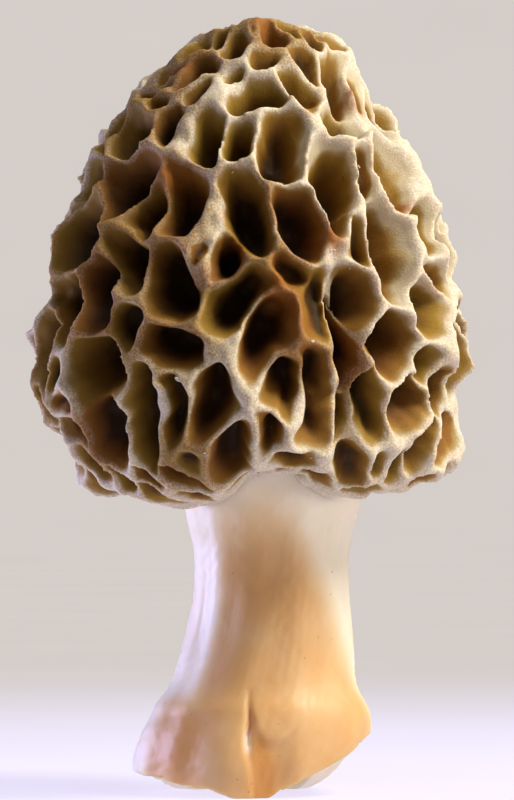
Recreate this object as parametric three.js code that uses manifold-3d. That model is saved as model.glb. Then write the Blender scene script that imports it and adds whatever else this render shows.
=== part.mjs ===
// A morel mushroom, cut off at the foot and standing on the cut.
//
// A morel is one continuous wall of flesh round one open hollow: the smooth stem runs straight up
// into the pitted cap, and the hollow opens at the cut. So the whole mushroom is a single solid.
// The cap is drawn round a centre inside it. A place on the cap is an azimuth, which is 0 at the
// front (-Y) and grows towards the right (+X), and a polar angle, which is 0 at the crown.
// Millimetres and degrees, +Z up.

import * as THREE from 'three';
import { ConvexHull } from 'three/addons/math/ConvexHull.js';
import { mergeVertices } from 'three/addons/utils/BufferGeometryUtils.js';
import Module from 'manifold-3d';

const wasm = await Module();
wasm.setup();

// ---- Driving dimensions -------------------------------------------------------------------------

// Height of the centre that the cap is drawn round, with the crown 32 mm above it.
const CAP_CENTRE = new THREE.Vector3(0, 0, 58);

// Crest of the ridges: polar angle and distance from the cap's centre.
const CREST_OUTLINE = [
  [0, 32], [13, 32], [19, 30.8], [25, 28.5], [32, 27], [44, 25.3], [61, 23.5], [77, 24],
  [91, 24.8], [104, 26.6], [116, 28], [126, 29.7], [134, 30.2], [142, 29.6], [152, 28], [180, 27],
];

// Height of the cap's lower rim, by azimuth, all the way round.
const RIM_HEIGHT = [
  [-180, 35.4], [-120, 36], [-80, 36], [-45, 34.2], [-15, 35.2], [0, 37.4], [20, 38], [30, 36.4],
  [45, 35.4], [75, 36.2], [120, 35.8], [180, 35.4],
];
const RIM_ROUNDING = 1.6;

// The ridges: how wide their crests are, and how far a pit's mouth may stand back from a ridge.
const CREST_WIDTH = 1.3;
const MOUTH_SLACK = 1.1;
const CORNER_SHARPNESS = 3;

// A deep cleft runs down the right of the front, between two lobes.
const CLEFT = { azimuth: 26.5, polar: 112, halfWidth: 5, halfHeight: 17, depth: 2.2 };

// The pits of the front: the place of a pit's upper end, the place of its lower end, its width
// across, its depth, and a letter where it shares a sunken wall with its neighbour.
const FRONT_PITS = [
  // crown
  [-22, 4.5, -15, 12.8, 1.9, 2.5], [5, 4, 7, 11.5, 1.5, 2], [-14, 14, -10, 23.8, 2.6, 5.5],
  [-4, 13.5, -1, 19.5, 1.2, 3], [12, 13, 12, 21.7, 3.8, 5], [-0.5, 25, 16, 22.3, 1.7, 3.5],
  [-50, 20, -38, 15.5, 1.6, 3], [-36, 17.5, -20, 13, 1.4, 3], [24, 13, 38, 18, 2, 2],
  [44, 15, 44, 22, 2.6, 2.2], [26, 20, 31, 29.5, 1.4, 2.2], [66, 15, 62, 20.5, 2, 2],
  // shoulder
  [-47, 29.5, -21, 22.5, 2.8, 4.5], [-62, 26, -47, 21.5, 1.4, 2], [-19, 30.5, -5, 26.5, 1.4, 4],
  [-22, 27.5, -34, 36, 2.5, 2.2], [-13, 35, 15.5, 31, 4.4, 5.5], [-19, 37, -16.5, 53, 3.2, 6],
  [-2, 40.5, -6, 52, 3.3, 6], [-33, 34, -37, 44.5, 2.4, 4], [-48, 36, -51, 47.5, 5, 5.5],
  [-66, 31, -45, 27, 2.8, 4], [-49, 33, -38, 37, 1.8, 2.5], [-74, 36.5, -76, 47, 3, 3],
  [15, 25.5, 26, 35.5, 1.7, 3], [60, 21, 41, 34.5, 4.2, 5.5, 'a'], [40, 36, 35.5, 46.5, 4.2, 6, 'a'],
  [66, 25, 60, 35, 2, 1.6], [75, 31, 68, 41, 3.4, 3],
  // upper side
  [10, 38.5, 9, 58, 4.3, 6], [30, 47, 25.5, 74.5, 4.4, 6.5], [42, 47.5, 40, 61, 2.6, 3.2, 'b'],
  [44, 63, 41.5, 92, 5.4, 6.5, 'b'], [60, 44, 57, 64, 7.2, 5], [-40, 49.5, -49.5, 65.5, 5.2, 6],
  [-70, 49.5, -74, 62, 4.5, 3.5], [-34, 57.5, -35, 75, 4.3, 6.5], [-25, 52.5, -23, 75.5, 4.7, 6],
  [-6, 55.5, 3, 79.5, 4.3, 6.5, 'c'], [-7, 75, -6.5, 86, 4.1, 7, 'c'], [-14, 75.5, -17, 84, 1.5, 1],
  [11, 60.5, 17, 80, 5.4, 6], [71, 64, 61, 79, 3.5, 3.5], [80, 69, 71, 84, 4.5, 3.5],
  [59, 81, 68, 87, 1.8, 2.5], [-61, 64, -62, 84, 6.6, 5], [-79, 70.5, -82, 86, 4.5, 3],
  [-74, 62.5, -75, 68.5, 2, 2],
  // middle
  [-40, 71.5, -35, 89.5, 4.8, 6.5], [-50, 81.5, -44, 100, 4.8, 5.5], [-63, 83, -58.5, 103, 5.8, 5],
  [-68, 94, -66, 112.5, 5.6, 4.5], [-84, 100, -83, 117, 4, 2.5], [-35.5, 92.5, -33, 104.5, 3, 3.5],
  [-25.5, 76.5, -20.5, 97.5, 5, 6.5], [1, 82.5, -7.5, 102.8, 4.9, 7], [6, 81, 15.5, 86, 2.6, 4, 'd'],
  [18, 84, 19, 101.5, 2.7, 3, 'd'], [31.5, 66, 33, 83, 1.9, 3], [28, 83, 31, 99.5, 4.2, 6],
  [63, 87, 51.5, 99, 4.8, 5], [74, 95, 68, 116, 7.2, 5], [42, 95, 36, 112, 4.8, 6.5],
  [53, 104.5, 51.5, 112, 2.6, 4],
  // lower lobes
  [6.5, 90.5, -2, 110, 5.6, 6.5], [-29.5, 101, -12.5, 106, 3.4, 6], [-44, 101, -44, 114.5, 7.6, 7.5, 'e'],
  [-44, 115, -39, 131, 5.4, 4.5, 'e'], [-59.5, 104, -61, 112.5, 2.8, 2.5], [-29, 107, -29, 131, 4, 5],
  [-21, 109.5, -21.5, 125.5, 2.9, 4], [-7, 105.5, -13, 124.5, 4.2, 6], [24, 92, 29, 118, 3.2, 6.5],
  [28.5, 118, 28, 128, 2.2, 5], [33, 106, 36, 126, 2.4, 4.5], [7, 105.5, 11.5, 120, 3.6, 5.5],
  [15, 103.5, 16, 124.5, 3.2, 4.5], [5, 119.5, 5.5, 128, 1.9, 4], [46, 111, 44.5, 122.5, 5.6, 6],
  [63, 108, 57, 120, 3.2, 3], [72, 117, 62, 129, 5.6, 4.5], [55, 119, 52, 132, 4, 3.5],
  // under the rim
  [7, 129.5, 15.5, 130, 1.6, 2.5], [-5, 121, -7, 135, 4.2, 4.5], [-20, 127.5, -14, 128.5, 1.6, 1.5],
  [-28, 128.5, -13, 137.5, 2.2, 3], [-60, 118.5, -51, 126, 3.4, 4], [-60, 115, -53.5, 118.5, 1.5, 2],
  [-58, 127, -48, 136, 2.6, 3], [-47, 131.5, -43, 138, 2.4, 2.5], [-70, 112, -70, 121, 2.4, 2.5],
  [-78, 112, -77, 118, 2, 2], [-74, 124, -70, 134, 3.4, 3], [38, 126.5, 37, 133, 2, 2],
  [30, 128, 33, 137, 3, 3], [49, 126, 46.5, 135, 2.6, 2.5], [64, 131, 60, 138, 3, 2.5],
];

// The pits of the crown's far side and of the back stand in loose rows between two azimuths:
// polar angle of the row, how many pits it has, their length, width and depth.
const BACK_PITS = [
  [9, 4, 3.4, 2.6, 2.4], [21, 7, 5, 3.2, 3.5], [35, 8, 6.5, 4, 4.8], [50, 10, 7.5, 4.2, 5.2],
  [67, 11, 8.5, 4.8, 5.6], [86, 12, 9.5, 5, 5.8], [105, 12, 10, 5.2, 6], [124, 12, 8.5, 4.8, 5],
  [136, 12, 4, 3.6, 2.8],
];
const BACK_FROM = 84;
const BACK_TO = 274;

// The stem: height, where its middle stands, and its radius.
const STEM_SECTIONS = [
  [0, -0.4, 13.4], [4, 0, 13.8], [7, 0.6, 13.5], [9.1, 1.1, 13], [10.5, 1.2, 12.5], [12, 1.35, 11.5],
  [13.3, 1.5, 10.9], [16, 1.8, 10.2], [19, 2.1, 9.6], [23, 2.3, 9.2], [28.5, 2.3, 9.1],
  [31.5, 2.2, 9.7], [35, 2.3, 10.5], [40, 1.6, 11.4], [44, 1, 11],
];
const STEM_SIDES = 48;
// Height of the ragged cut by azimuth: it rests on the floor at the front and the back.
const CUT_HEIGHT = [
  [-180, 0], [-140, 0], [-120, 1.4], [-100, 2.4], [-60, 2.2], [-35, 1.3], [-18, 0.8], [-7, 0],
  [10, 0], [16, 0.7], [28, 2.1], [41, 3.5], [54, 4.9], [68, 6.3], [88, 7.7], [100, 7.8], [118, 5],
  [135, 1.5], [148, 0], [180, 0],
];
const CUT_REACH = 16; // the cut crowds the stem below this height
// Folds down the stem: azimuth, how far they stand in, and their half width in degrees.
const STEM_FOLDS = [
  [-58, 0.7, 7], [-36, 0.9, 7], [-12, 0.5, 10], [-4, 1.2, 5], [40, 0.5, 12], [96, 0.9, 12], [160, 1, 14],
];
const FOLD_TOP = 24;

// The open hollow: height and radius, from below the cut up to its top inside the crown.
const HOLLOW_SECTIONS = [
  [-3, 10.2], [4, 10], [9, 9.4], [14, 7.6], [20, 6.4], [30, 6.2], [37, 7], [43, 9.8], [50, 13],
  [58, 14.4], [66, 13], [73, 9], [78, 4], [80, 0],
];
const HOLLOW_SIDES = 28;
const HOLLOW_LEAN = [[0, -0.3], [10, 0.2], [20, 2.2], [30, 2.5], [42, 1], [50, 0]];

// How fine the faces are: distances between neighbouring points on the crests, the walls and the
// floors, and how many places are tried.
const TRIED_PLACES = 24000;
const CREST_STEP = 1.1;
const WALL_STEP = 1.6;
const FLOOR_STEP = 2.1;
const WALL_TO_CREST = 0.95;
const CREST_SEARCH = 0.25;
const CREST_SEARCHES = 3;

// ---- Small helpers ------------------------------------------------------------------------------

const radians = THREE.MathUtils.degToRad;

// A smooth curve through [place, value] points, flat beyond the ends.
function alongCurve(points, place, column = 1) {
  const last = points.length - 1;
  if (place <= points[0][0]) return points[0][column];
  if (place >= points[last][0]) return points[last][column];
  let i = 0;
  while (points[i + 1][0] < place) i += 1;
  const before = points[Math.max(i - 1, 0)];
  const after = points[Math.min(i + 2, last)];
  const [from, to] = [points[i], points[i + 1]];
  const span = to[0] - from[0];
  const t = (place - from[0]) / span;
  const slopeFrom = ((to[column] - before[column]) / (to[0] - before[0])) * span;
  const slopeTo = ((after[column] - from[column]) / (after[0] - from[0])) * span;
  const t2 = t * t;
  const t3 = t2 * t;
  return (2 * t3 - 3 * t2 + 1) * from[column] + (t3 - 2 * t2 + t) * slopeFrom
    + (3 * t2 - 2 * t3) * to[column] + (t3 - t2) * slopeTo;
}

// A repeatable number from 0 to 1 for the n-th draw.
function scatter(n) {
  const wave = Math.sin(n * 12.9898 + 4.1) * 43758.5453;
  return wave - Math.floor(wave);
}

function smoothMin(a, b, rounding) {
  const h = Math.max(rounding - Math.abs(a - b), 0) / rounding;
  return Math.min(a, b) - h * h * rounding * 0.25;
}

function direction(azimuth, polar) {
  const a = radians(azimuth);
  const p = radians(polar);
  return new THREE.Vector3(Math.sin(p) * Math.sin(a), -Math.sin(p) * Math.cos(a), Math.cos(p));
}

function anglesOf(dir) {
  const azimuth = THREE.MathUtils.radToDeg(Math.atan2(dir.x, -dir.y));
  const polar = THREE.MathUtils.radToDeg(Math.acos(THREE.MathUtils.clamp(dir.z, -1, 1)));
  return [azimuth, polar];
}

// ---- The cap ------------------------------------------------------------------------------------

// Distance from the cap's centre to the level of the ridge crests.
function crestRadius(dir) {
  const [azimuth, polar] = anglesOf(dir);
  let radius = alongCurve(CREST_OUTLINE, polar);
  radius += 0.5 * Math.sin(radians(3 * azimuth + 40)) * Math.sin(radians(polar * 2.2));
  radius += 0.35 * Math.sin(radians(5 * azimuth - 70 + polar * 1.5)) * Math.sin(radians(polar));
  const across = (azimuth - CLEFT.azimuth) / CLEFT.halfWidth;
  const along = (polar - CLEFT.polar) / CLEFT.halfHeight;
  radius -= CLEFT.depth * Math.exp(-across * across - along ** 4);
  if (polar > 100) {
    const underside = (CAP_CENTRE.z - alongCurve(RIM_HEIGHT, azimuth)) / Math.cos(radians(180 - polar));
    radius = smoothMin(radius, underside, RIM_ROUNDING);
  }
  return radius;
}

function crestPoint(dir) {
  return dir.clone().multiplyScalar(crestRadius(dir));
}

function backPits() {
  const pits = [];
  let draw = 0;
  const shake = (size) => {
    draw += 1;
    return (scatter(draw) - 0.5) * 2 * size;
  };
  BACK_PITS.forEach(([polar, count, length, width, depth], row) => {
    const gap = (BACK_TO - BACK_FROM) / count;
    for (let i = 0; i < count; i += 1) {
      const azimuth = BACK_FROM + gap * (i + 0.3 + 0.4 * (row % 2)) + shake(gap * 0.22);
      const middle = polar + shake(Math.min(3.5, polar * 0.2));
      const half = THREE.MathUtils.radToDeg((length * (1 + shake(0.22))) / 2 / 26);
      const lean = shake(gap * 0.22);
      pits.push([azimuth - lean, middle - half, azimuth + lean, middle + half,
        width * (1 + shake(0.15)), depth * (1 + shake(0.15))]);
    }
  });
  return pits;
}

// A pit's mouth is an ellipse on the crest level, between its two ends.
function mouthOf([upperAzimuth, upperPolar, lowerAzimuth, lowerPolar, width, depth, family]) {
  const upper = crestPoint(direction(upperAzimuth, upperPolar));
  const lower = crestPoint(direction(lowerAzimuth, lowerPolar));
  const middle = upper.clone().add(lower).multiplyScalar(0.5);
  const long = upper.clone().sub(lower);
  const halfLength = long.length() / 2;
  long.normalize();
  const out = middle.clone().normalize();
  const wide = new THREE.Vector3().crossVectors(out, long).normalize();
  const place = crestPoint(out);
  return { place, out, long, wide, halfLength, halfWidth: width / 2, depth, family };
}

const PITS = [...FRONT_PITS, ...backPits()].map(mouthOf);

// Distance from a point of the crest level to the edge of a pit's mouth, negative inside it.
function mouthDistance(point, pit) {
  const offset = point.clone().sub(pit.place);
  const across = offset.dot(pit.wide) / pit.halfWidth;
  const along = offset.dot(pit.long) / pit.halfLength;
  const outward = offset.dot(pit.out) / pit.halfLength;
  const scaled = Math.hypot(across, along, outward);
  const slope = Math.hypot(across / pit.halfWidth, along / pit.halfLength, outward / pit.halfLength);
  return slope < 1e-6 ? -Math.min(pit.halfWidth, pit.halfLength) : (scaled * (scaled - 1)) / slope;
}

// How far a place lies inside its pit, measured from the pit's edge. It is negative on a ridge.
function insidePit(dir) {
  const point = crestPoint(dir);
  const distances = PITS.map((pit) => mouthDistance(point, pit));
  const own = distances.indexOf(Math.min(...distances));
  const pit = PITS[own];
  let sum = Math.exp(-CORNER_SHARPNESS * (MOUTH_SLACK - distances[own]));
  let sharedWall = Infinity;
  distances.forEach((distance, i) => {
    if (i === own) return;
    const toWall = (distance - distances[own]) / 2;
    if (pit.family && pit.family === PITS[i].family) sharedWall = Math.min(sharedWall, toWall);
    else sum += Math.exp(-CORNER_SHARPNESS * (toWall - CREST_WIDTH / 2));
  });
  return { pit, inside: -Math.log(sum) / CORNER_SHARPNESS, sharedWall };
}

function capRadius(dir) {
  const { pit, inside, sharedWall } = insidePit(dir);
  const bowl = THREE.MathUtils.clamp(inside / Math.min(pit.halfWidth, pit.halfLength), 0, 1);
  let depth = pit.depth * (1 - (1 - bowl) ** 2.4);
  depth *= 1 - 0.5 * Math.exp(-((sharedWall / 0.8) ** 2));
  return crestRadius(dir) - depth;
}

// Moves a place on a ridge sideways until it stands on the middle of the ridge.
function ontoCrest(place) {
  let best = place;
  for (let n = 0; n < CREST_SEARCHES; n += 1) {
    const from = best;
    for (let turn = 0; turn < 8; turn += 1) {
      const side = new THREE.Vector3(0, 0, 1).cross(from.dir).normalize();
      const step = side.applyAxisAngle(from.dir, (turn * Math.PI) / 4).multiplyScalar(CREST_SEARCH);
      const dir = from.point.clone().add(step).normalize();
      const inside = insidePit(dir).inside;
      if (inside < best.inside) best = { dir, point: crestPoint(dir), inside };
    }
  }
  return best;
}

// Places on the cap, thick along the crests and thin on the floors, so that faces follow ridges.
function capDirections() {
  const tried = [];
  const golden = Math.PI * (3 - Math.sqrt(5));
  for (let i = 0; i < TRIED_PLACES; i += 1) {
    const z = 1 - (2 * i + 1) / TRIED_PLACES;
    const flat = Math.sqrt(1 - z * z);
    const dir = new THREE.Vector3(Math.cos(i * golden) * flat, Math.sin(i * golden) * flat, z);
    tried.push({ dir, point: crestPoint(dir), inside: insidePit(dir).inside });
  }
  const kept = [];
  const clearOf = (place, step, others) => others.every((o) => o.point.distanceTo(place.point) >= step);
  const crests = tried.filter((p) => p.inside < -0.2).map(ontoCrest).sort((a, b) => a.inside - b.inside);
  crests.forEach((p) => {
    if (clearOf(p, CREST_STEP, kept)) kept.push(p);
  });
  const crestCount = kept.length;
  const crestPlaces = kept.slice();
  tried.filter((p) => p.inside > 0.45 && p.inside < 0.85).forEach((p) => {
    const offCrest = clearOf(p, WALL_TO_CREST, crestPlaces);
    if (offCrest && clearOf(p, WALL_STEP, kept.slice(crestCount))) kept.push(p);
  });
  tried.filter((p) => p.inside >= 0.85).sort((a, b) => b.inside - a.inside).forEach((p) => {
    if (clearOf(p, FLOOR_STEP, kept)) kept.push(p);
  });
  return kept.map((p) => p.dir);
}

function capGeometry() {
  const directions = capDirections();
  const hull = new ConvexHull().setFromPoints(directions);
  const positions = [];
  hull.faces.forEach((face) => {
    let edge = face.edge;
    do {
      const dir = edge.head().point;
      const point = dir.clone().multiplyScalar(capRadius(dir)).add(CAP_CENTRE);
      positions.push(point.x, point.y, point.z);
      edge = edge.next;
    } while (edge !== face.edge);
  });
  const geometry = new THREE.BufferGeometry();
  geometry.setAttribute('position', new THREE.Float32BufferAttribute(positions, 3));
  return geometry;
}

// ---- The stem and the hollow --------------------------------------------------------------------

// A closed skin through rings of points, each ring listed once round.
function loft(rings) {
  const sides = rings[0].length;
  const positions = [];
  const face = (...corners) => corners.forEach((p) => positions.push(p.x, p.y, p.z));
  for (let r = 0; r + 1 < rings.length; r += 1) {
    for (let i = 0; i < sides; i += 1) {
      const j = (i + 1) % sides;
      face(rings[r][i], rings[r][j], rings[r + 1][j]);
      face(rings[r][i], rings[r + 1][j], rings[r + 1][i]);
    }
  }
  const middle = (ring) => ring.reduce((sum, p) => sum.add(p), new THREE.Vector3()).divideScalar(sides);
  const bottom = middle(rings[0]);
  bottom.z = Math.min(...rings[0].map((p) => p.z));
  const top = middle(rings[rings.length - 1]);
  for (let i = 0; i < sides; i += 1) {
    const j = (i + 1) % sides;
    face(bottom, rings[0][j], rings[0][i]);
    face(top, rings[rings.length - 1][i], rings[rings.length - 1][j]);
  }
  const geometry = new THREE.BufferGeometry();
  geometry.setAttribute('position', new THREE.Float32BufferAttribute(positions, 3));
  return geometry;
}

function stemPoint(azimuth, level) {
  const cut = Math.max(0, alongCurve(CUT_HEIGHT, azimuth));
  const height = level + cut * THREE.MathUtils.clamp(1 - level / CUT_REACH, 0, 1);
  const share = THREE.MathUtils.clamp(1 - height / FOLD_TOP, 0, 1);
  let reach = alongCurve(STEM_SECTIONS, height, 2);
  STEM_FOLDS.forEach(([place, depth, halfWidth]) => {
    reach -= depth * (0.4 + 0.6 * share) * Math.exp(-(((azimuth - place) / halfWidth) ** 2));
  });
  reach -= 0.35 * share * Math.sin(radians(7 * azimuth)) + 0.15 * Math.sin(radians(11 * azimuth + 50));
  const a = radians(azimuth);
  const middle = alongCurve(STEM_SECTIONS, height);
  return new THREE.Vector3(middle + reach * Math.sin(a), -reach * Math.cos(a), height);
}

function stemGeometry() {
  const rings = STEM_SECTIONS.map(([level]) => {
    const ring = [];
    for (let i = 0; i < STEM_SIDES; i += 1) ring.push(stemPoint((360 * i) / STEM_SIDES - 180, level));
    return ring;
  });
  return loft(rings);
}

function hollowGeometry() {
  const rings = HOLLOW_SECTIONS.slice(0, -1).map(([height, radius]) => {
    const ring = [];
    for (let i = 0; i < HOLLOW_SIDES; i += 1) {
      const a = (2 * Math.PI * i) / HOLLOW_SIDES;
      const middle = alongCurve(HOLLOW_LEAN, height);
      ring.push(new THREE.Vector3(middle + radius * Math.sin(a), -radius * Math.cos(a), height));
    }
    return ring;
  });
  return loft(rings);
}

// ---- Joining ------------------------------------------------------------------------------------

function toSolid(geometry) {
  const merged = mergeVertices(geometry, 1e-4);
  const mesh = new wasm.Mesh({
    numProp: 3,
    vertProperties: new Float32Array(merged.attributes.position.array),
    triVerts: new Uint32Array(merged.index.array),
  });
  return new wasm.Manifold(mesh);
}

function toGeometry(solid) {
  const mesh = solid.getMesh();
  const geometry = new THREE.BufferGeometry();
  geometry.setAttribute('position', new THREE.Float32BufferAttribute(mesh.vertProperties, 3));
  geometry.setIndex(new THREE.Uint32BufferAttribute(mesh.triVerts, 1));
  return geometry;
}

const solid = toSolid(stemGeometry()).add(toSolid(capGeometry())).subtract(toSolid(hollowGeometry()));

const morelFlesh = new THREE.MeshStandardMaterial({ color: '#b39b72', roughness: 0.75, metalness: 0 });
const morel = new THREE.Mesh(toGeometry(solid), morelFlesh);
morel.name = 'morel';

const group = new THREE.Group();
group.add(morel);

export default group;
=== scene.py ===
import functools
import math

import bmesh
import bpy
import numpy as np
from mathutils import Matrix, Vector


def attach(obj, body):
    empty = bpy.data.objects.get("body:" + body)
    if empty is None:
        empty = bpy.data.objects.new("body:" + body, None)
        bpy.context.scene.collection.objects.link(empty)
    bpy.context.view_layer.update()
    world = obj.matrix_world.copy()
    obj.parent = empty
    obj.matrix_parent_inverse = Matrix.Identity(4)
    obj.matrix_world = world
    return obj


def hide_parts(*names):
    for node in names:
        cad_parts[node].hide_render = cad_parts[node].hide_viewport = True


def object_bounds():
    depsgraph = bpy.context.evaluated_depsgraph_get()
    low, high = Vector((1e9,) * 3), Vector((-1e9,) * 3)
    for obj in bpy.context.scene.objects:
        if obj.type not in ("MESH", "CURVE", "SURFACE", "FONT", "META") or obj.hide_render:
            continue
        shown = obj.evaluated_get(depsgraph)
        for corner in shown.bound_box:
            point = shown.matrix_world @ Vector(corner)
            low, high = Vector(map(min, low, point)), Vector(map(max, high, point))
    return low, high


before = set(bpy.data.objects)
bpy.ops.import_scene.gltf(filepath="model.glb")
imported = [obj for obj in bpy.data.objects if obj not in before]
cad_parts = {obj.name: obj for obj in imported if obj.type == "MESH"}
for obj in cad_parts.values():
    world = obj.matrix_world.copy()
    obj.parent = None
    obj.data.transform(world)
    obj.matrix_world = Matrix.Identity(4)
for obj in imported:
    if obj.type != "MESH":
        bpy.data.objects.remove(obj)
CAD_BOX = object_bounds()

bl_info = {
    "name": "Morel Mushroom",
    "version": (1, 0, 0),
    "blender": (4, 5, 0),
    "location": "View3D > Sidebar > Morel",
    "description": "Builds a picked morel with a pitted cap, a smooth hollow stem and a pale studio",
    "category": "Object",
}

MM = 0.001  # metres in a millimetre: the shape is worked out in millimetres and degrees

# A place on the cap is an azimuth, which is 0 at the front and grows towards the right, and a
# polar angle, which is 0 at the crown, both seen from a centre inside the cap.
CAP_CENTRE = np.array([0.0, 0.0, 58.0])

# Crest of the ridges: polar angle and distance from the cap's centre.
CREST_OUTLINE = [
    (0, 32), (13, 32), (19, 30.8), (25, 28.5), (32, 27), (44, 25.3), (61, 23.5), (77, 24),
    (91, 24.8), (104, 26.6), (116, 28), (126, 29.7), (134, 30.2), (142, 29.6), (152, 28), (180, 27),
]
# Height of the cap's lower rim, by azimuth, all the way round.
RIM_HEIGHT = [
    (-180, 35.4), (-120, 36), (-80, 36), (-45, 34.2), (-15, 35.2), (0, 37.4), (20, 38), (30, 36.4),
    (45, 35.4), (75, 36.2), (120, 35.8), (180, 35.4),
]
RIM_ROUNDING = 1.6  # how softly the cap turns under at its rim
CORNER_SHARPNESS = 4  # how sharply a pit's corners are drawn where ridges meet
# A pit falls off its crest in a dish: how fast in millimetres, and the dish's share of the depth.
DISH_FALL, DISH_SHARE = 0.75, 0.46
WELL_LIP = 0.5  # how far outside its mouth a pit's deep well starts
WELL_STEEPNESS = 2.6
RIDGE_SAG = 1.3  # how far a ridge hangs between the corners where pits meet
RIDGE_SWAY = 0.014  # how far ridges wander, as a share of their distance from the centre
LINING_DEPTH = 1.2  # flesh this far below the surface belongs to the hollow's lining
MEAN_REACH = 26  # typical distance of the crests from the cap's centre
# The deep cleft between the two lobes of the front: azimuth, polar angle, half widths, depth.
CLEFT = (26.5, 106, 3.8, 23, 5.8)
CLEFT_WANDER = 2  # how far the cleft strays from its azimuth, in degrees
# Where the cap's outline stands out or draws in: azimuth, polar angle, half widths, how far.
SWELLS = [
    (-90, 16, 60, 6, -2), (90, 21, 45, 5, 1.2), (90, 58, 32, 14, 1.1), (90, 86, 30, 7, -1.5),
    (90, 116, 32, 6, -2.8), (-90, 90, 30, 5, -1.9), (-95, 129, 40, 10, -3.1), (-8, 121, 22, 9, 1.2),
    (45, 122, 14, 9, 0.8), (-55, 118, 14, 10, 0.7), (-28, 12, 30, 4, 0.6), (0, 4, 1000, 10, -1),
]

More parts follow.
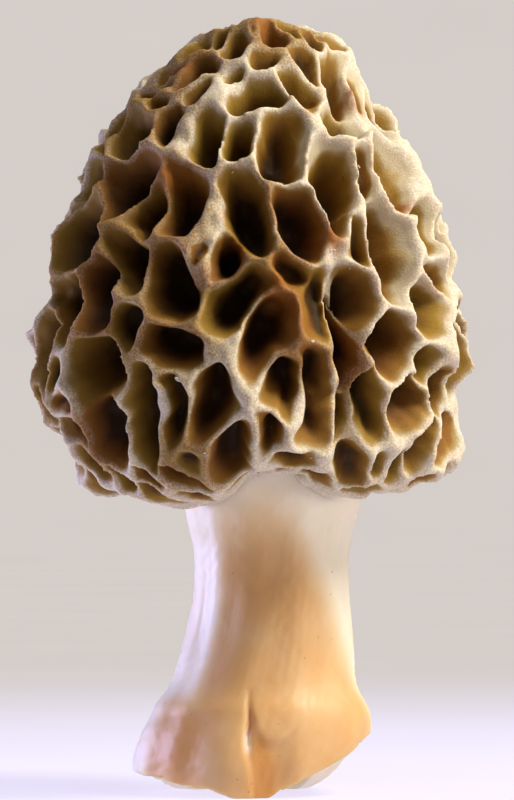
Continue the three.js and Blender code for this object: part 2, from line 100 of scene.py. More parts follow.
# The pits of the front: the place of a pit's upper end, the place of its lower end, its width
# across, its depth, and a letter where it shares a sunken wall with its neighbour.
FRONT_PITS = [
    # crown
    (-22, 4.5, -15, 12.8, 1.9, 2.5), (5, 4, 7, 11.5, 1.5, 2), (-14, 14, -10, 23.8, 2.6, 5.5),
    (-4, 13.5, -1, 19.5, 1.2, 3), (12, 13, 12, 21.7, 3.8, 5), (-0.5, 25, 16, 22.3, 1.7, 3.5),
    (-50, 20, -38, 15.5, 1.6, 3), (-36, 17.5, -20, 13, 1.4, 3), (24, 13, 38, 18, 2, 2),
    (44, 15, 44, 22, 2.6, 2.2), (26, 20, 31, 29.5, 1.4, 2.2), (66, 15, 62, 20.5, 2, 2),
    # shoulder
    (-47, 29.5, -21, 22.5, 2.8, 4.5), (-62, 26, -47, 21.5, 1.4, 2), (-19, 30.5, -5, 26.5, 1.4, 4),
    (-22, 27.5, -34, 36, 2.5, 2.2), (-13, 35, 15.5, 31, 4.4, 5.5), (-19, 37, -16.5, 53, 3.2, 6),
    (-2, 40.5, -6, 52, 3.3, 6), (-33, 34, -37, 44.5, 2.4, 4), (-48, 36, -51, 47.5, 5, 5.5),
    (-66, 31, -45, 27, 2.8, 4), (-49, 33, -38, 37, 1.8, 2.5), (-74, 36.5, -76, 47, 3, 3),
    (15, 25.5, 26, 35.5, 1.7, 3), (60, 21, 41, 34.5, 4.2, 5.5, "a"),
    (40, 36, 35.5, 46.5, 4.2, 6, "a"), (66, 25, 60, 35, 2, 1.6), (75, 31, 68, 41, 3.4, 3),
    # upper side
    (10, 38.5, 9, 58, 4.3, 6), (30, 47, 25.5, 74.5, 4.4, 6.5), (42, 47.5, 40, 61, 2.6, 3.2, "b"),
    (44, 63, 41.5, 92, 5.4, 6.5, "b"), (60, 44, 57, 64, 7.2, 5), (-40, 49.5, -49.5, 65.5, 5.2, 6),
    (-70, 49.5, -74, 62, 4.5, 3.5), (-34, 57.5, -35, 75, 4.3, 6.5), (-25, 52.5, -23, 75.5, 4.7, 6),
    (-6, 55.5, 3, 79.5, 4.3, 6.5, "c"), (-7, 75, -6.5, 86, 4.1, 7, "c"), (-14, 75.5, -17, 84, 1.5, 1),
    (11, 60.5, 17, 80, 5.4, 6), (71, 64, 61, 79, 3.5, 3.5), (80, 69, 71, 84, 4.5, 3.5),
    (59, 81, 68, 87, 1.8, 2.5), (-61, 64, -62, 84, 6.6, 5), (-79, 70.5, -82, 86, 4.5, 3),
    (-74, 62.5, -75, 68.5, 2, 2),
    # middle
    (-40, 71.5, -35, 89.5, 4.8, 6.5), (-50, 81.5, -44, 100, 4.8, 5.5), (-63, 83, -58.5, 103, 5.8, 5),
    (-68, 94, -66, 112.5, 5.6, 4.5), (-84, 100, -83, 117, 4, 2.5), (-35.5, 92.5, -33, 104.5, 3, 3.5),
    (-25.5, 76.5, -20.5, 97.5, 5, 6.5), (1, 82.5, -7.5, 102.8, 4.9, 7), (6, 81, 15.5, 86, 2.6, 4, "d"),
    (18, 84, 19, 101.5, 2.7, 3, "d"), (31.5, 66, 33, 83, 1.9, 3), (28, 83, 31, 99.5, 4.2, 6),
    (63, 87, 51.5, 99, 4.8, 5), (74, 95, 68, 116, 7.2, 5), (42, 95, 36, 112, 4.8, 6.5),
    (53, 104.5, 51.5, 112, 2.6, 4),
    # lower lobes
    (6.5, 90.5, -2, 110, 5.6, 6.5), (-29.5, 101, -12.5, 106, 3.4, 6),
    (-44, 101, -44, 114.5, 7.6, 7.5, "e"), (-44, 115, -39, 131, 5.4, 4.5, "e"),
    (-59.5, 104, -61, 112.5, 2.8, 2.5), (-29, 107, -29, 131, 4, 5),
    (-21, 109.5, -21.5, 125.5, 2.9, 4), (-7, 105.5, -13, 124.5, 4.2, 6), (24, 92, 29, 118, 3.2, 6.5),
    (28.5, 118, 28, 128, 2.2, 5), (33, 106, 36, 126, 2.4, 4.5), (7, 105.5, 11.5, 120, 3.6, 5.5),
    (15, 103.5, 16, 124.5, 3.2, 4.5), (5, 119.5, 5.5, 128, 1.9, 4), (46, 111, 44.5, 122.5, 5.6, 6),
    (63, 108, 57, 120, 3.2, 3), (72, 117, 62, 129, 5.6, 4.5), (55, 119, 52, 132, 4, 3.5),
    # under the rim
    (7, 129.5, 15.5, 130, 1.6, 2.5), (-5, 121, -7, 135, 4.2, 4.5), (-20, 127.5, -14, 128.5, 1.6, 1.5),
    (-28, 128.5, -13, 137.5, 2.2, 3), (-60, 118.5, -51, 126, 3.4, 4), (-60, 115, -53.5, 118.5, 1.5, 2),
    (-58, 127, -48, 136, 2.6, 3), (-47, 131.5, -43, 138, 2.4, 2.5), (-70, 112, -70, 121, 2.4, 2.5),
    (-78, 112, -77, 118, 2, 2), (-74, 124, -70, 134, 3.4, 3), (38, 126.5, 37, 133, 2, 2),
    (30, 128, 33, 137, 3, 3), (49, 126, 46.5, 135, 2.6, 2.5), (64, 131, 60, 138, 3, 2.5),
    (-36, 129, -30, 137, 2, 2.4), (-66, 132, -58, 140, 2.4, 2.4), (-38, 137, -29, 142, 2, 2),
    (-24, 139, -15, 141.5, 1.8, 1.8), (-53, 139, -44, 143, 2.2, 2), (-80, 126, -78, 136, 2.8, 2.6),
    (10, 134, 18, 138, 2.2, 2), (23, 136, 28, 142, 2, 2), (41, 136, 45, 143, 2.2, 2.2),
    (55, 138, 61, 143, 2.2, 2), (-7, 138, 3, 139.5, 2, 1.8), (72, 134, 75, 141, 2.4, 2),
]
# The pits of the crown's far side and of the back stand in loose rows between two azimuths:
# polar angle of the row, how many pits it has, their length, width and depth.
BACK_PITS = [
    (9, 4, 3.4, 2.6, 2.4), (21, 7, 5, 3.2, 3.5), (35, 8, 6.5, 4, 4.8), (50, 10, 7.5, 4.2, 5.2),
    (67, 11, 8.5, 4.8, 5.6), (86, 12, 9.5, 5, 5.8), (105, 12, 10, 5.2, 6), (124, 12, 8.5, 4.8, 5),
    (136, 12, 4, 3.6, 2.8),
]
BACK_FROM, BACK_TO = 84, 274

# The stem: height, where its middle stands, and its radius.
STEM_SECTIONS = [
    (0, -0.4, 13.4), (4, 0, 13.8), (7, 0.6, 13.5), (9.1, 1.1, 13), (10.5, 1.2, 12.5), (12, 1.35, 11.5),
    (13.3, 1.5, 10.9), (16, 1.8, 10.2), (19, 2.1, 9.6), (23, 2.3, 9.2), (28.5, 2.3, 9.1),
    (31.5, 2.2, 9.7), (35, 2.3, 10.5), (40, 1.6, 11.4), (44, 1, 11),
]
# Height of the ragged cut by azimuth: it rests on the floor at the front and the back.
CUT_HEIGHT = [
    (-180, 0), (-140, 0), (-120, 1.4), (-100, 2.4), (-60, 2.2), (-35, 1.3), (-18, 0.8), (-7, 0),
    (10, 0), (16, 0.7), (28, 2.1), (41, 3.5), (54, 4.9), (68, 6.3), (88, 7.7), (100, 7.8), (118, 5),
    (135, 1.5), (148, 0), (180, 0),
]
CUT_REACH = 16  # the cut crowds the stem below this height
# Folds down the stem: azimuth, how far they stand in, and their half width in degrees.
STEM_FOLDS = [(-56, 0.4, 8), (-34, 0.25, 9), (40, 0.4, 14), (96, 0.9, 12), (160, 1, 14)]
FOLD_TOP = 24  # above this height the folds no longer deepen towards the foot
PATTERN_RADIUS = 12  # the stem's uneven surface is drawn on a tube of this radius
TUBE_STEPS = 280  # faces round the stem
# The tear in the foot: height, azimuth, and how far it stands in.
TEAR = [
    (0.5, 3, 0.4), (3, 1, 0.25), (5, -2, 0.6), (7, -4.5, 1.4), (9, -6, 0.8), (11, -7.5, 0.4),
    (13, -9, 0),
]
# Where the amber of the stem's front, partly painted shade, ends on the right: height and azimuth.
AMBER_RIGHT = [(0, 95), (10, 78), (20, 50), (29, 20), (36, 0)]
# The tear's gape is painted light shining through the stem's wall.
GAPE_LIGHT_HEIGHT = 6.6  # where the tear stands open

# The open hollow: height and radius, and how far its middle leans over to the right.
HOLLOW_SECTIONS = [
    (-3, 10.2), (4, 10), (9, 9.4), (14, 7.6), (20, 6.4), (30, 6.2), (37, 7), (43, 9.8), (50, 13),
    (58, 14.4), (66, 13), (73, 9), (78, 4), (80, 0),
]
HOLLOW_LEAN = [(0, -0.3), (10, 0.2), (20, 2.2), (30, 2.5), (42, 1), (50, 0)]

# Broad webs, where the crests widen: azimuth, polar angle, spread and extra width in millimetres.
WEBS = [
    (-10.5, 65, 2.4, 2.0), (-14, 73, 1.8, 1.2), (-15, 84, 2, 0.9), (-26, 44, 2.4, 1.4),
    (-14, 32, 2.6, 1), (-7.5, 105, 2.6, 1.2), (-4, 113, 2.4, 0.7), (16, 118, 2.8, 1),
    (8, 126, 2.4, 0.5), (-24, 116, 2, 0.8), (36, 44, 2, 0.8), (47, 70, 2.2, 0.8), (23, 78, 2, 1),
    (75, 58, 3, 1.2), (58, 100, 2.4, 1), (150, 45, 3, 1.4), (205, 80, 3, 1.4), (120, 100, 3, 1.2),
    (240, 55, 3, 1.2),
]
# Darker flesh, partly old and partly painted shade on the left and middle: azimuth, polar angle and
# spread in millimetres.
AGED_AND_SHADE = [
    (-58, 36, 9), (-46, 22, 6), (-38, 62, 6), (-64, 62, 8), (4, 8, 7), (42, 15, 5), (-48, 84, 7),
    (15, 18, 4), (-62, 92, 7), (-2, 84, 4), (12, 92, 4), (-30, 10, 5), (170, 30, 10), (210, 65, 9),
    (130, 80, 9), (250, 90, 8), (-72, 112, 6), (-50, 125, 5), (-18, 128, 5), (14, 104, 5), (30, 112, 5),
    (-36, 72, 11), (-60, 78, 12), (-20, 94, 8), (-40, 100, 7), (2, 66, 4), (8, 84, 5),
]
# Paler flesh, on the right of the front and at one place on the back: azimuth, polar angle and spread
# in millimetres.
PALE = [
    (64, 46, 11), (78, 68, 12), (54, 60, 7), (62, 30, 7), (52, 84, 6), (24, 50, 4), (190, 55, 8),
]
# Rust-brown bruises on the ridges: azimuth, polar angle, how far they spread in millimetres.
BRUISES = [
    (-28, 53, 2.6), (-20, 57, 1.6), (6, 86, 2.6), (9, 92, 3), (13, 99, 2.2), (23, 76, 2.4),
    (-32, 50, 1.6), (27, 34, 1.2), (-45, 23, 1.6), (12, 14, 1.6), (24, 16, 1.4), (62, 62, 1.6),
    (58, 32, 2), (14, 104, 1.8), (-60, 70, 2.4), (76, 93, 1.6), (150, 60, 2.6), (200, 90, 3),
    (235, 45, 2.4), (170, 110, 2.4), (120, 80, 2.2),
]
# Grains that cling to the ridges: azimuth, polar angle, and length in millimetres.
GRAINS = [
    (-18.5, 110.8, 1.0), (-12, 125.5, 0.4), (22, 79, 0.5), (23.5, 78.5, 0.4), (27, 69, 0.45),
    (15, 102, 0.7), (-6.5, 54.5, 0.35), (52, 47, 0.9), (37, 54.5, 0.5), (-14, 101, 0.3),
    (-24, 24.5, 0.6), (-37, 124.5, 0.6), (2, 134, 0.5), (19, 129, 0.5), (20.5, 128, 0.45),
    (17.5, 130, 0.35), (-45, 104, 1.1), (24, 80.5, 0.5), (-69, 104, 0.4), (38, 136, 0.5),
    (30, 83, 0.4), (-80, 70.5, 1.6), (60, 47, 0.7), (150, 60, 0.6), (205, 95, 0.8), (118, 85, 0.6),
    (240, 70, 0.5), (172, 30, 0.5), (222, 120, 0.6), (100, 115, 0.7),
]
SOIL_CRUMBS = [(-69, 45.5, 1.2), (-71, 47, 0.7), (-66, 47, 0.35), (160, 75, 0.6), (214, 52, 0.5)]

# Soft boxes: name, height in millimetres that it is aimed at, azimuth and elevation seen from
# there, distance, width, height, colour, the share of the studio's power, and its beam's angle.
SOFT_BOXES = [
    ("warm_key", 45, 60, 5, 0.5, 0.36, 0.12, "#fff0da", 0.5, 180),
    ("high_right", 60, 66, 48, 0.5, 0.2, 0.2, "#fff8ee", 2.05, 180),
    ("warm_edge", 60, 112, 22, 0.5, 0.3, 0.3, "#fff4e4", 0.2, 180),
    ("lilac_edge", 20, -109, 4, 0.22, 0.12, 0.05, "#c4c2ff", 0.047, 60),
    ("cool_top", 60, 5, 64, 0.5, 0.22, 0.22, "#fbf7ff", 0.22, 180),
]
# The sweep, in metres: how far its floor is flat, the radius of its bend, and its wall's height.
SWEEP_FLAT, SWEEP_BEND, SWEEP_WALL = 1.5, 0.5, 1.6
# The view: the object's share of the frame's height, how far to the right the camera looks, and
# the heights that it looks at and stands at, as shares of the frame's and the object's height.
FRAME_SHARE = 0.963
LOOK_RIGHT = 0.6 * MM
LOOK_HEIGHT, EYE_HEIGHT = 0.491, 0.45


# ---- Shape of the mushroom -----------------------------------------------------------------------


def along_curve(points, places, column=1):
    """A smooth curve through points, flat beyond its ends."""
    table = np.array(points, dtype=float)
    x, y = table[:, 0], table[:, column]
    last = len(x) - 1
    places = np.clip(places, x[0], x[-1])
    i = np.clip(np.searchsorted(x, places, side="left") - 1, 0, last - 1)
    before, after = np.maximum(i - 1, 0), np.minimum(i + 2, last)
    span = x[i + 1] - x[i]
    t = (places - x[i]) / span
    slope_from = (y[i + 1] - y[before]) / (x[i + 1] - x[before]) * span
    slope_to = (y[after] - y[i]) / (x[after] - x[i]) * span
    return (
        (2 * t**3 - 3 * t**2 + 1) * y[i]
        + (t**3 - 2 * t**2 + t) * slope_from
        + (3 * t**2 - 2 * t**3) * y[i + 1]
        + (t**3 - t**2) * slope_to
    )


def smooth_min(a, b, rounding):
    h = np.maximum(rounding - np.abs(a - b), 0) / rounding
    return np.minimum(a, b) - h * h * rounding * 0.25


def smooth_step(low, high, value):
    t = np.clip((value - low) / (high - low), 0, 1)
    return t * t * (3 - 2 * t)


def ripple(points, wavelength, seed):
    """Smooth noise from about -1 to 1 at each point, with bumps about a wavelength apart. It is
    a sum of waves that run in random directions."""
    draw = np.random.default_rng(seed)
    total = np.zeros(len(points))
    waves = 9
    for _ in range(waves):
        way = draw.normal(size=3)
        way *= 2 * math.pi / (wavelength * draw.uniform(0.75, 1.4) * np.linalg.norm(way))
        total += np.sin(points @ way + draw.uniform(0, 2 * math.pi))
    return total / math.sqrt(waves) * 0.8


def directions(azimuth, polar):
    a, p = np.radians(azimuth), np.radians(polar)
    return np.stack([np.sin(p) * np.sin(a), -np.sin(p) * np.cos(a), np.cos(p)], axis=-1)


def crest_radius(dirs):
    """Distance from the cap's centre to the level of the ridge crests."""
    azimuth = np.degrees(np.arctan2(dirs[:, 0], -dirs[:, 1]))
    polar = np.degrees(np.arccos(np.clip(dirs[:, 2], -1, 1)))
    radius = along_curve(CREST_OUTLINE, polar)
    # The cap is a little out of round.
    radius += 0.5 * np.sin(np.radians(3 * azimuth + 40)) * np.sin(np.radians(polar * 2.2))
    radius += 0.35 * np.sin(np.radians(5 * azimuth - 70 + polar * 1.5)) * np.sin(np.radians(polar))
    across = (azimuth - CLEFT[0] - CLEFT_WANDER * np.sin(np.radians(7 * polar))) / CLEFT[2]
    along = (polar - CLEFT[1]) / CLEFT[3]
    radius -= CLEFT[4] * np.exp(-(across**2) - along**4)
    for middle, tilt, turn_reach, tilt_reach, rise in SWELLS:
        turn = (azimuth - middle + 180) % 360 - 180
        radius += rise * np.exp(-((turn / turn_reach) ** 2) - ((polar - tilt) / tilt_reach) ** 2)
    low = polar > 100
    fall = np.cos(np.radians(180 - polar[low]))
    underside = (CAP_CENTRE[2] - along_curve(RIM_HEIGHT, azimuth[low])) / fall
    radius[low] = smooth_min(radius[low], underside, RIM_ROUNDING)
    return radius


def crest_points(dirs):
    return dirs * crest_radius(dirs)[:, None]


def near_places(level, places):
    """How strongly each place on the crest level belongs to any of the listed places: the first
    three values of a place are its azimuth, its polar angle and its spread in millimetres."""
    strength = np.zeros((len(places), len(level)))
    for row, (azimuth, polar, spread, *_) in zip(strength, places):
        heart = crest_points(directions(np.array([azimuth]), np.array([polar])))
        row[:] = smooth_step(spread * 1.3, spread * 0.3, np.linalg.norm(level - heart, axis=1))
    return strength


def scatter(n):
    """A value from 0 to 1 that looks random and is always the same for the same n."""
    wave = math.sin(n * 12.9898 + 4.1) * 43758.5453
    return wave - math.floor(wave)


def back_pits():
    """The pits of the back, in the form of FRONT_PITS, shaken out of their even rows."""
    pits = []
    draw = 0

    def shake(size):
        nonlocal draw
        draw += 1
        return (scatter(draw) - 0.5) * 2 * size

    for row, (polar, count, length, width, depth) in enumerate(BACK_PITS):
        gap = (BACK_TO - BACK_FROM) / count
        for i in range(count):
            azimuth = BACK_FROM + gap * (i + 0.3 + 0.4 * (row % 2)) + shake(gap * 0.22)
            middle = polar + shake(min(3.5, polar * 0.2))
            half = math.degrees(length * (1 + shake(0.22)) / 2 / MEAN_REACH)
            lean = shake(gap * 0.22)
            pits.append((azimuth - lean, middle - half, azimuth + lean, middle + half,
                         width * (1 + shake(0.15)), depth * (1 + shake(0.15))))
    return pits


class Pits:
    """The mouths of all pits, each an ellipse on the crest level, held as arrays."""

    def __init__(self):
        rows = FRONT_PITS + back_pits()
        ends = np.array([row[:6] for row in rows], dtype=float)
        upper = crest_points(directions(ends[:, 0], ends[:, 1]))
        lower = crest_points(directions(ends[:, 2], ends[:, 3]))
        middle = (upper + lower) / 2
        length = np.linalg.norm(upper - lower, axis=1)
        self.long = (upper - lower) / length[:, None]
        self.out = middle / np.linalg.norm(middle, axis=1)[:, None]
        wide = np.cross(self.out, self.long)
        self.wide = wide / np.linalg.norm(wide, axis=1)[:, None]
        self.place = crest_points(self.out)
        self.half_length = length / 2
        self.half_width = ends[:, 4] / 2
        self.depth = ends[:, 5]
        family = np.array([ord(row[6]) if len(row) > 6 else 1000 + i for i, row in enumerate(rows)])
        self.related = family[:, None] == family[None, :]

    def distances(self, points):
        """Distance from each point to the edge of each mouth, negative inside it."""
        def offset(axes):
            return points @ axes.T - np.sum(self.place * axes, axis=1)
        across = offset(self.wide) / self.half_width
        along = offset(self.long) / self.half_length
        outward = offset(self.out) / self.half_length
        scaled = np.sqrt(across**2 + along**2 + outward**2)
        slope = np.sqrt((across / self.half_width) ** 2 + (along / self.half_length) ** 2
                        + (outward / self.half_length) ** 2)
        return scaled * (scaled - 1) / np.maximum(slope, 1e-6)


def pit_field(dirs, pits, crest_width, mouth_slack):
    """For each direction: its pit, how far it lies inside that pit's crest, how far it is from
    the wall that a related pit shares, how far outside the pit's mouth it is, and how far it is
    from where three pits meet."""
    own_pit, inside, shared, outside, third = [], [], [], [], []
    batch = 8192
    for start in range(0, len(dirs), batch):
        part = dirs[start:start + batch]
        level = crest_points(part)
        distance = pits.distances(level)
        extra = np.array([web[3] for web in WEBS]) @ near_places(level, WEBS)
        crest = (crest_width * (1 + 0.5 * ripple(level, 7, 16)) + extra)[:, None]
        own = np.argmin(distance, axis=1)
        near = distance[np.arange(len(part)), own]
        to_wall = (distance - near[:, None]) / 2
        related = pits.related[own]
        walls = np.exp(-CORNER_SHARPNESS * (to_wall - crest / 2))
        total = np.sum(np.where(related, 0, walls), axis=1)
        total += np.exp(-CORNER_SHARPNESS * (mouth_slack - near))
        kin = np.where(related, to_wall, np.inf)
        kin[np.arange(len(part)), own] = np.inf
        own_pit.append(own)
        inside.append(-np.log(total) / CORNER_SHARPNESS)
        shared.append(np.min(kin, axis=1))
        outside.append(near)
        third.append(np.partition(to_wall, 2, axis=1)[:, 2])
    return [np.concatenate(part) for part in (own_pit, inside, shared, outside, third)]


def cap_surface(dirs, pits, crest_width, mouth_slack):
    """Radius of the cap's surface, and at each direction its pit and its share of the pit's
    depth, from 0 on the crest to 1 on the floor."""
    level = crest_points(dirs)
    sway = np.stack([ripple(level, 6, seed) + 0.4 * ripple(level, 2.2, seed + 5)
                     for seed in (1, 2, 3)], axis=1)
    swayed = dirs + sway * RIDGE_SWAY
    swayed /= np.linalg.norm(swayed, axis=1)[:, None]
    own, inside, shared, near, third = pit_field(swayed, pits, crest_width, mouth_slack)
    reach = np.minimum(pits.half_width, pits.half_length)[own]
    # A pit is a dish that falls from the crest, with a deep well in its middle.
    dish = 1 - np.exp(-np.maximum(inside, 0) / DISH_FALL)
    well = 1 - (1 - np.clip((WELL_LIP - near) / (reach + WELL_LIP), 0, 1)) ** WELL_STEEPNESS
    well *= smooth_step(0, 0.8, inside)
    share = DISH_SHARE * dish + (1 - DISH_SHARE) * well
    # Two related pits share a wall that is sunk to half the depth.
    share *= 1 - 0.5 * np.exp(-((shared / 0.8) ** 2))
    from_middle = np.clip((inside + crest_width / 2) / (crest_width / 2), 0, 1)
    depth = pits.depth[own] * share + 0.3 * from_middle**2.5
    # Ridges sag between the corners where three pits meet.
    depth += RIDGE_SAG * (1 - share) * smooth_step(0.4, 2.6, third)
    # Broad swells and fine wrinkles: the pits' walls have the coarser ones.
    depth += 0.6 * ripple(level, 8, 11) + 0.25 * ripple(level, 3.2, 12) - RIDGE_SAG / 2
    depth += share * (0.35 * ripple(level, 2.4, 13) + 0.14 * ripple(level, 1.1, 14))
    depth += (1 - share) * 0.13 * ripple(level, 0.9, 15)
    return crest_radius(dirs) - depth, own, share


# ---- Mesh helpers --------------------------------------------------------------------------------


def mesh_points(mesh):
    flat = np.empty(len(mesh.vertices) * 3, dtype=np.float64)
    mesh.vertices.foreach_get("co", flat)
    return flat.reshape(-1, 3)


def set_mesh_points(mesh, points):
    mesh.vertices.foreach_set("co", np.ascontiguousarray(points, dtype=np.float64).ravel())
    mesh.update()


def new_object(name, bm):
    mesh = bpy.data.meshes.new(name)
    bm.to_mesh(mesh)
    bm.free()
    piece = bpy.data.objects.new(name, mesh)
    bpy.context.scene.collection.objects.link(piece)
    return piece


def bake_modifiers(piece):
    """Leaves the piece with the mesh that its modifiers make."""
    graph = bpy.context.evaluated_depsgraph_get()
    made = bpy.data.meshes.new_from_object(piece.evaluated_get(graph))
    old = piece.data
    piece.modifiers.clear()
    piece.data = made
    bpy.data.meshes.remove(old)


def point_attribute(mesh, name, values):
    layer = mesh.attributes.new(name, "FLOAT", "POINT")
    layer.data.foreach_set("value", np.ascontiguousarray(values, dtype=np.float32))


def finish_mesh(mesh, material):
    """Smooth shading and one material all over."""
    mesh.polygons.foreach_set("use_smooth", np.ones(len(mesh.polygons), dtype=bool))
    mesh.materials.clear()
    mesh.materials.append(material)


def spun_profile(profile, steps, unit=MM, closed=True):
    """A bmesh turned about the Z axis from an outline of (radius, height)."""
    bm = bmesh.new()
    corners = [bm.verts.new((radius * unit, 0, height * unit)) for radius, height in profile]
    following = corners[1:] + (corners[:1] if closed else [])
    edges = [bm.edges.new((a, b)) for a, b in zip(corners, following)
             if not (a.co.x == 0 and b.co.x == 0)]
    bmesh.ops.spin(bm, geom=corners + edges, cent=(0, 0, 0), axis=(0, 0, 1), angle=2 * math.pi,
                   steps=steps, use_merge=True)
    bmesh.ops.remove_doubles(bm, verts=bm.verts, dist=unit * 1e-4)
    bmesh.ops.recalc_face_normals(bm, faces=bm.faces)
    return bm


def heights(start, end, step):
    return list(np.linspace(start, end, max(2, round(abs(end - start) / step) + 1)))


def hollow_object():
    """The solid that fills the hollow. It is only used to cut the cap open."""
    tall = heights(HOLLOW_SECTIONS[0][0], HOLLOW_SECTIONS[-1][0] - 0.2, 1.2)
    profile = [(0, tall[0])] + [(float(along_curve(HOLLOW_SECTIONS, z)), z) for z in tall]
    profile.append((0, HOLLOW_SECTIONS[-1][0]))
    piece = new_object("hollow_cutter", spun_profile(profile, 96))
    points = mesh_points(piece.data) / MM
    points[:, 0] += along_curve(HOLLOW_LEAN, points[:, 2])
    outward = points * np.array([1, 1, 0])
    outward /= np.maximum(np.linalg.norm(outward, axis=1), 1e-6)[:, None]
    points += outward * (0.25 * ripple(points, 5, 41) + 0.1 * ripple(points, 1.8, 42))[:, None]
    set_mesh_points(piece.data, points * MM)
    return piece


def cut_hollow(piece):
    cutter = hollow_object()
    boolean = piece.modifiers.new("hollow", "BOOLEAN")
    boolean.operation = "DIFFERENCE"
    boolean.solver = "MANIFOLD"
    boolean.object = cutter
    bake_modifiers(piece)
    bpy.data.objects.remove(cutter)


# ---- Materials -----------------------------------------------------------------------------------


def linear(hex_colour):
    """An sRGB hex colour as a linear RGBA value."""
    def channel(start):
        c = int(hex_colour[start:start + 2], 16) / 255
        return c / 12.92 if c <= 0.04045 else ((c + 0.055) / 1.055) ** 2.4
    return (channel(1), channel(3), channel(5), 1.0)


def add_node(tree, kind, values=None, stops=None, **settings):
    """A shader node with its settings, its input values or links, and the stops of its ramp.
    A text value is a hex colour."""
    node = tree.nodes.new("ShaderNode" + kind)
    for name, value in settings.items():
        setattr(node, name, value)
    for name, value in (values or {}).items():
        if isinstance(value, bpy.types.NodeSocket):
            tree.links.new(value, node.inputs[name])
        else:
            node.inputs[name].default_value = linear(value) if isinstance(value, str) else value
    if stops:
        ramp = node.color_ramp
        while len(ramp.elements) < len(stops):
            ramp.elements.new(0.5)
        for element, (place, colour) in zip(ramp.elements, stops):
            element.position = place
            element.color = linear(colour) if isinstance(colour, str) else colour
    return node


def per_mm(size):
    """The scale of a noise whose features are this many millimetres across."""
    return 1 / (size * MM)


def new_material(name):
    """A material, the function that adds a node to it, and its Object coordinates."""
    material = bpy.data.materials.new(name)
    material.use_nodes = True
    material.node_tree.nodes.clear()
    add = functools.partial(add_node, material.node_tree)
    return material, add, add("TexCoord").outputs["Object"]


def cap_flesh_material(colours):
    """Fresh morel cap: dry, finely granular flesh, pale along the crests and ochre in the pits, with
    painted shade in the pits' depths and on the left.
    """
    material, add, place = new_material("fresh_morel_cap_granular")
    share, tone, bruise, hollow, age_and_shade = (
        add("Attribute", attribute_name=name).outputs["Fac"]
        for name in ("pit_share", "pit_tone", "bruise", "hollow", "age_and_shade"))
    patches = add("TexNoise", {"Vector": place, "Scale": per_mm(5), "Detail": 4, "Roughness": 0.6})
    grains = add("TexNoise",
                 {"Vector": place, "Scale": per_mm(0.26), "Detail": 3, "Roughness": 0.65})

    # The colour follows the depth in the pit, pushed about by the patches, by age and by painted shade.
    # The deep stops lay painted shade over the pits' ochre, darkest on the floors.
    pushed = add("Math", {0: patches.outputs["Fac"], 1: 0.44, 2: -0.2}, operation="MULTIPLY_ADD")
    darker = add("Math", {0: age_and_shade, 1: 0.26, 2: pushed.outputs[0]}, operation="MULTIPLY_ADD")
    depth = add("Math", {0: share, 1: darker.outputs[0]}, operation="ADD", use_clamp=True)
    olive = add("ValToRGB", {"Fac": depth.outputs[0]}, stops=[
        (0.0, colours.ridge), (0.12, colours.ridge_side), (0.24, colours.wall),
        (0.6, colours.deep_olive_shade), (0.98, colours.floor_olive_shade)])
    brown = add("ValToRGB", {"Fac": depth.outputs[0]}, stops=[
        (0.0, colours.ridge), (0.11, colours.ridge_side), (0.22, colours.wall_brown),
        (0.58, colours.deep_brown_shade), (0.92, colours.floor_brown_shade)])
    flesh = add("Mix", {"Factor": tone, 6: olive.outputs["Color"], 7: brown.outputs["Color"]},
                data_type="RGBA")

    # A frost of pale grains lies on the crests, and thins out where the flesh is old and where painted
    # shade lies.
    crest = add("MapRange", {"Value": share, "From Max": 0.12, "To Min": 0.7, "To Max": 0.0},
                interpolation_type="SMOOTHSTEP")
    speck = add("MapRange", {"Value": grains.outputs["Fac"], "From Min": 0.36, "From Max": 0.7})
    frost = add("Math", {0: crest.outputs[0], 1: speck.outputs[0]}, operation="MULTIPLY")
    thin = add("MapRange", {"Value": age_and_shade, "To Min": 1.0, "To Max": 0.25})
    thinned = add("Math", {0: frost.outputs[0], 1: thin.outputs[0]}, operation="MULTIPLY")
    frosted = add("Mix", {"Factor": thinned.outputs[0], 6: flesh.outputs[2], 7: colours.frost},
                  data_type="RGBA")

    # Bruises are rust brown, and break up into blotches.
    blotch = add("MapRange", {"Value": patches.outputs["Fac"], "From Min": 0.3, "From Max": 0.6})
    stain = add("Math", {0: bruise, 1: blotch.outputs[0]}, operation="MULTIPLY", use_clamp=True)
    stained = add("Mix", {"Factor": stain.outputs[0], 6: frosted.outputs[2], 7: colours.bruise},
                  data_type="RGBA")
    lined = add("Mix", {"Factor": hollow, 6: stained.outputs[2], 7: colours.hollow},
                data_type="RGBA")

    # The floors are a little moister than the frosted crests.
    roughness = add("MapRange", {"Value": share, "From Max": 0.6, "To Min": 0.75, "To Max": 0.62})
    bump = add("Bump", {"Height": grains.outputs["Fac"], "Strength": 0.6, "Distance": 0.15 * MM})
    shader = add("BsdfPrincipled", {
        "Base Color": lined.outputs[2], "Roughness": roughness.outputs[0],
        "Normal": bump.outputs["Normal"], "IOR": 1.4, "Specular IOR Level": 0.3,
        "Subsurface Weight": 0.4, "Subsurface Radius": (1.0, 0.6, 0.12),
        "Subsurface Scale": 1.2 * MM})
    add("OutputMaterial", {"Surface": shader.outputs["BSDF"]})
    return material


